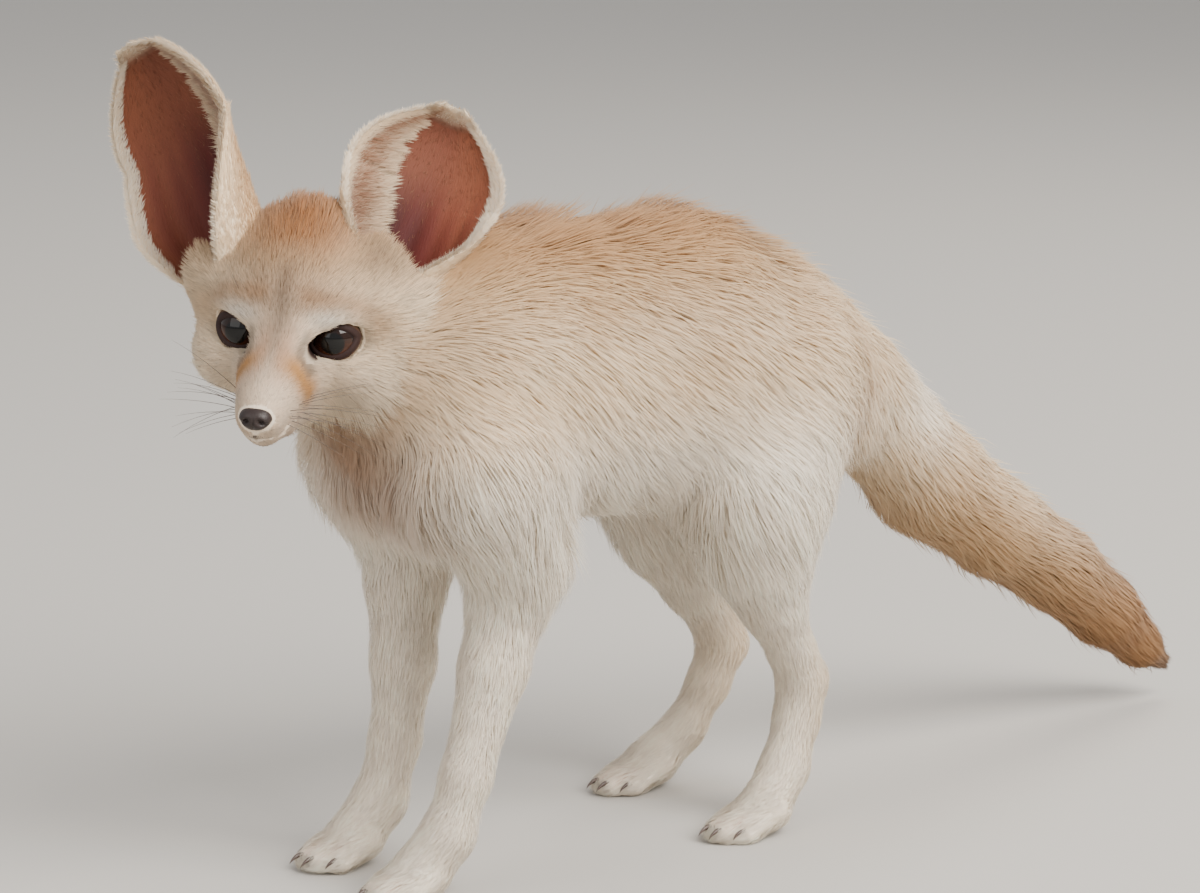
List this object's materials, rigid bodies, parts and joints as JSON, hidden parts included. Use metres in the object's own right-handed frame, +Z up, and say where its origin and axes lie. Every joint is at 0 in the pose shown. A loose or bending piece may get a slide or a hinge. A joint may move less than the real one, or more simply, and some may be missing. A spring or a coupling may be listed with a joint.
{
  "type": "fennec fox model",
  "caption": "Still, life-size model of a fennec fox standing at rest, head turned a little to its left, large cupped ears, bushy tail held low behind.",
  "frame": {"origin": "on the ground, at the middle of the bounding box seen from above", "axes": "+Z up; the fox faces -Y and its left side is +X; the tail points towards +Y"},
  "size_m": [0.133, 0.4396, 0.2637],
  "materials": {
    "coat_cream": "dense soft fur, cream and buff",
    "coat_white": "short soft fur, near white",
    "coat_golden": "long bushy fur, golden buff",
    "ear_skin": "thin skin, pink inside, short pale fur outside",
    "eye": "wet, glossy dark brown",
    "nose_leather": "moist pebbled skin, dark brown",
    "claw_horn": "smooth dark horn"
  },
  "bodies": {
    "root": {"head": "coat_cream", "ear_left": "ear_skin", "ear_right": "ear_skin", "eye_left": "eye", "eye_right": "eye", "nose_pad": "nose_leather", "neck": "coat_cream", "torso": "coat_cream", "tail": "coat_golden", "fore_leg_left": "coat_white", "hind_leg_left": "coat_white", "hind_foot_left": "coat_white", "fore_paw_left": "coat_white", "hind_paw_left": "coat_white", "fore_claw_left_1": "claw_horn", "fore_claw_left_2": "claw_horn", "fore_claw_left_3": "claw_horn", "fore_claw_left_4": "claw_horn", "hind_claw_left_1": "claw_horn", "hind_claw_left_2": "claw_horn", "hind_claw_left_3": "claw_horn", "hind_claw_left_4": "claw_horn", "fore_leg_right": "coat_white", "hind_leg_right": "coat_white", "hind_foot_right": "coat_white", "fore_paw_right": "coat_white", "hind_paw_right": "coat_white", "fore_claw_right_1": "claw_horn", "fore_claw_right_2": "claw_horn", "fore_claw_right_3": "claw_horn", "fore_claw_right_4": "claw_horn", "hind_claw_right_1": "claw_horn", "hind_claw_right_2": "claw_horn", "hind_claw_right_3": "claw_horn", "hind_claw_right_4": "claw_horn"}
  },
  "joints": []
}
